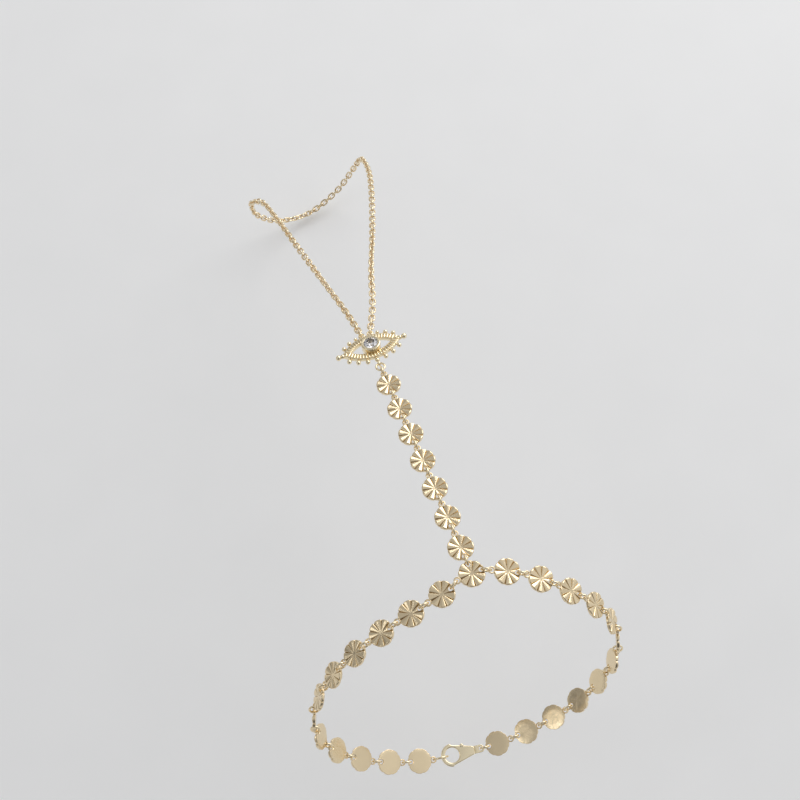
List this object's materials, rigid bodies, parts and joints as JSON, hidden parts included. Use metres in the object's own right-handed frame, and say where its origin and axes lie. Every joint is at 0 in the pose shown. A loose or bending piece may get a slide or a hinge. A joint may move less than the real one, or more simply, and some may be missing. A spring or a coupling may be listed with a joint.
{
  "type": "hand chain bracelet",
  "caption": "Hand chain of fluted gold discs round the wrist and over the hand, with an openwork eye set with one clear stone and a fine cable chain round one finger.",
  "frame": {"origin": "middle of the wrist, inside the wrist loop, where the bracelet sits on the hand", "axes": "+Y along the forearm towards the fingers, +Z out of the back of the hand, +X to the thumb side of a left hand"},
  "size_m": [0.0822, 0.1533, 0.0659],
  "materials": {
    "gold": "pale champagne gold plating, softly polished",
    "stone": "clear cut crystal with a faint lavender tint"
  },
  "bodies": {
    "root": {"middle_disc": "gold", "right_disc_1": "gold", "right_disc_2": "gold", "right_disc_3": "gold", "right_disc_4": "gold", "right_disc_5": "gold", "right_disc_6": "gold", "right_disc_7": "gold", "right_disc_8": "gold", "right_disc_9": "gold", "right_disc_10": "gold", "right_disc_11": "gold", "right_disc_12": "gold", "left_disc_1": "gold", "left_disc_2": "gold", "left_disc_3": "gold", "left_disc_4": "gold", "left_disc_5": "gold", "left_disc_6": "gold", "left_disc_7": "gold", "left_disc_8": "gold", "left_disc_9": "gold", "left_disc_10": "gold", "left_disc_11": "gold", "left_disc_12": "gold", "strand_disc_1": "gold", "strand_disc_2": "gold", "strand_disc_3": "gold", "strand_disc_4": "gold", "strand_disc_5": "gold", "strand_disc_6": "gold", "strand_disc_7": "gold", "wrist_jump_rings": "gold", "strand_jump_rings": "gold", "clasp": "gold", "eye_frame": "gold", "eye_stone": "stone", "finger_chain_left": "gold", "finger_chain_right": "gold"}
  },
  "joints": []
}
